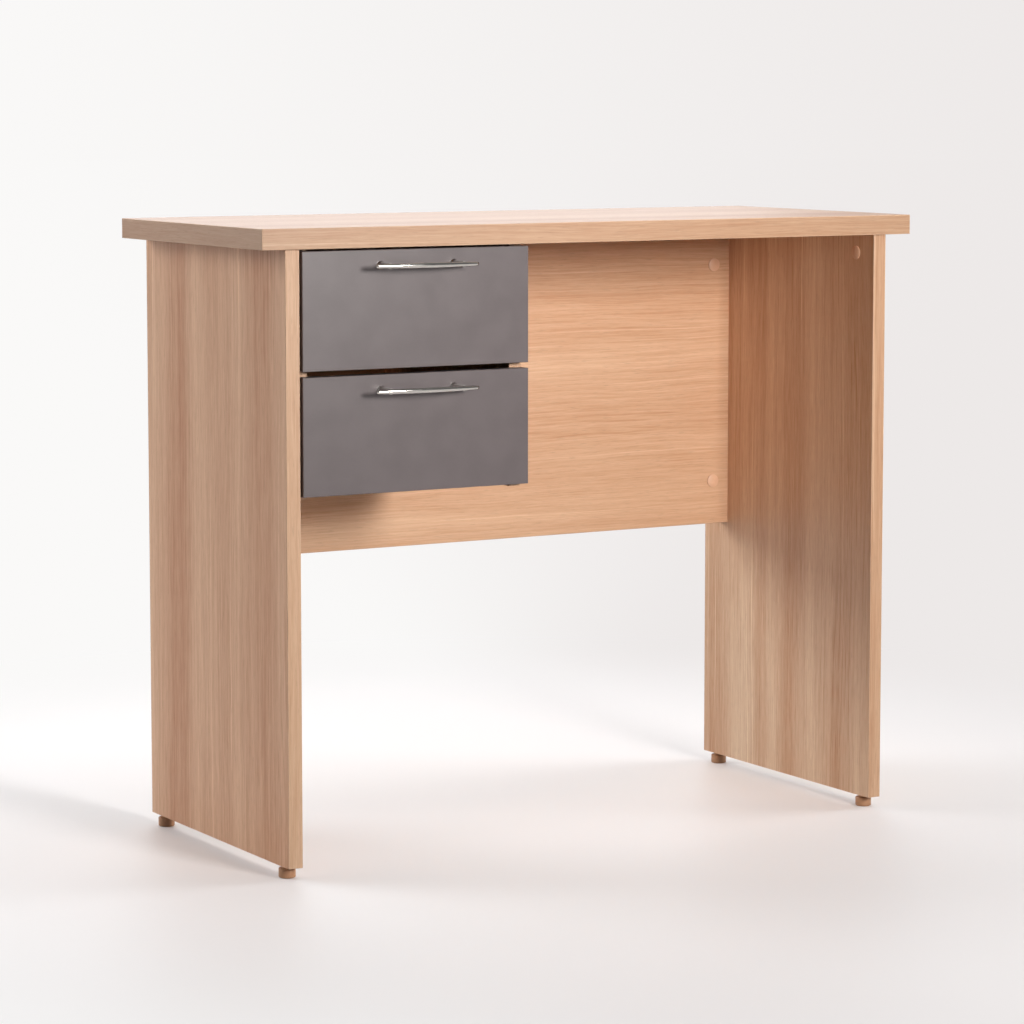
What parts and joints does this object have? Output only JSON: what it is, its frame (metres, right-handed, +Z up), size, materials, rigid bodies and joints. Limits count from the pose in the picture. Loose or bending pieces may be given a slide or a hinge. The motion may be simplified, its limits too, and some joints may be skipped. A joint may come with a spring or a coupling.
{
  "type": "writing desk",
  "caption": "Compact wood-effect writing desk with panel ends and a stack of drawers on runners hung under its left side.",
  "frame": {"origin": "on the floor, under the middle of the whole desk's bounding box with its drawers shut; the box runs from the handles' fronts to the worktop's rear edge", "axes": "+X to the right along the worktop's long edge as seen by the sitter, +Y from the drawer fronts to the back, +Z up out of the worktop"},
  "size_m": [0.9, 0.413, 0.75],
  "materials": {
    "oak_laminate": "melamine-faced chipboard with a fine warm oak print, satin",
    "oak_edge_banding": "thin edge banding with the same oak print, satin",
    "grey_laminate": "melamine-faced chipboard, warm mottled grey, matt",
    "grey_edge_banding": "thin grey edge banding, matt",
    "white_board": "melamine-faced drawer-side board, off-white, matt",
    "hardboard": "thin painted hardboard",
    "satin_nickel": "nickel-plated zinc casting, half polished",
    "zinc_plated_steel": "bright zinc-plated steel",
    "runner_steel": "zinc-plated rolled steel strip",
    "beech": "fluted beech, unfinished",
    "foot_plastic": "tan-brown moulded plastic, slightly glossy",
    "cap_plastic": "beige moulded plastic"
  },
  "bodies": {
    "desk_frame": {"worktop": "oak_laminate", "worktop_edge_bands": "oak_edge_banding", "left_end_panel": "oak_laminate", "left_panel_edge_bands": "oak_edge_banding", "right_end_panel": "oak_laminate", "right_panel_edge_bands": "oak_edge_banding", "modesty_panel": "oak_laminate", "modesty_edge_band": "oak_edge_banding", "pedestal_left_side": "oak_laminate", "pedestal_right_side": "oak_laminate", "pedestal_edge_bands": "oak_edge_banding", "cam_housings": "zinc_plated_steel", "cam_bolts": "zinc_plated_steel", "cam_cover_caps": "cap_plastic", "dowels": "beech", "pedestal_screws": "zinc_plated_steel", "runner_screws": "zinc_plated_steel", "foot_inserts": "zinc_plated_steel", "upper_left_outer_rail": "runner_steel", "upper_right_outer_rail": "runner_steel", "lower_left_outer_rail": "runner_steel", "lower_right_outer_rail": "runner_steel"},
    "upper_drawer": {"upper_drawer_front": "grey_laminate", "upper_front_edge_bands": "grey_edge_banding", "upper_box_left_side": "white_board", "upper_box_right_side": "white_board", "upper_box_front": "white_board", "upper_box_back": "white_board", "upper_box_bottom": "hardboard", "upper_box_screws": "zinc_plated_steel", "upper_front_screws": "zinc_plated_steel", "upper_rail_screws": "zinc_plated_steel", "upper_handle_bar": "satin_nickel", "upper_handle_posts": "satin_nickel", "upper_handle_screws": "zinc_plated_steel", "upper_left_inner_rail": "runner_steel", "upper_right_inner_rail": "runner_steel"},
    "lower_drawer": {"lower_drawer_front": "grey_laminate", "lower_front_edge_bands": "grey_edge_banding", "lower_box_left_side": "white_board", "lower_box_right_side": "white_board", "lower_box_front": "white_board", "lower_box_back": "white_board", "lower_box_bottom": "hardboard", "lower_box_screws": "zinc_plated_steel", "lower_front_screws": "zinc_plated_steel", "lower_rail_screws": "zinc_plated_steel", "lower_handle_bar": "satin_nickel", "lower_handle_posts": "satin_nickel", "lower_handle_screws": "zinc_plated_steel", "lower_left_inner_rail": "runner_steel", "lower_right_inner_rail": "runner_steel"},
    "upper_middle_rails": {"upper_left_middle_rail": "runner_steel", "upper_right_middle_rail": "runner_steel"},
    "lower_middle_rails": {"lower_left_middle_rail": "runner_steel", "lower_right_middle_rail": "runner_steel"},
    "front_left_foot": {"front_left_foot": "foot_plastic"},
    "front_right_foot": {"front_right_foot": "foot_plastic"},
    "rear_left_foot": {"rear_left_foot": "foot_plastic"},
    "rear_right_foot": {"rear_right_foot": "foot_plastic"}
  },
  "joints": [
    {"name": "upper_drawer_slide", "type": "slide", "parent": "desk_frame", "child": "upper_drawer", "axis": [0, -1, 0], "range_m": [0, 0.25]},
    {"name": "lower_drawer_slide", "type": "slide", "parent": "desk_frame", "child": "lower_drawer", "axis": [0, -1, 0], "range_m": [0, 0.25]},
    {"name": "upper_rails_slide", "type": "slide", "parent": "desk_frame", "child": "upper_middle_rails", "axis": [0, -1, 0], "range_m": [0, 0.125]},
    {"name": "lower_rails_slide", "type": "slide", "parent": "desk_frame", "child": "lower_middle_rails", "axis": [0, -1, 0], "range_m": [0, 0.125]},
    {"name": "front_left_foot_turn", "type": "hinge", "parent": "desk_frame", "child": "front_left_foot", "pos_m": [-0.409, -0.1485, 0.014], "axis": [0, 0, 1], "range_deg": [-180, 180]},
    {"name": "front_right_foot_turn", "type": "hinge", "parent": "desk_frame", "child": "front_right_foot", "pos_m": [0.409, -0.1485, 0.014], "axis": [0, 0, 1], "range_deg": [-180, 180]},
    {"name": "rear_left_foot_turn", "type": "hinge", "parent": "desk_frame", "child": "rear_left_foot", "pos_m": [-0.409, 0.1835, 0.014], "axis": [0, 0, 1], "range_deg": [-180, 180]},
    {"name": "rear_right_foot_turn", "type": "hinge", "parent": "desk_frame", "child": "rear_right_foot", "pos_m": [0.409, 0.1835, 0.014], "axis": [0, 0, 1], "range_deg": [-180, 180]}
  ],
  "couplings": [
    {"joint": "upper_rails_slide", "follows": "upper_drawer_slide", "ratio": 0.5},
    {"joint": "lower_rails_slide", "follows": "lower_drawer_slide", "ratio": 0.5}
  ]
}
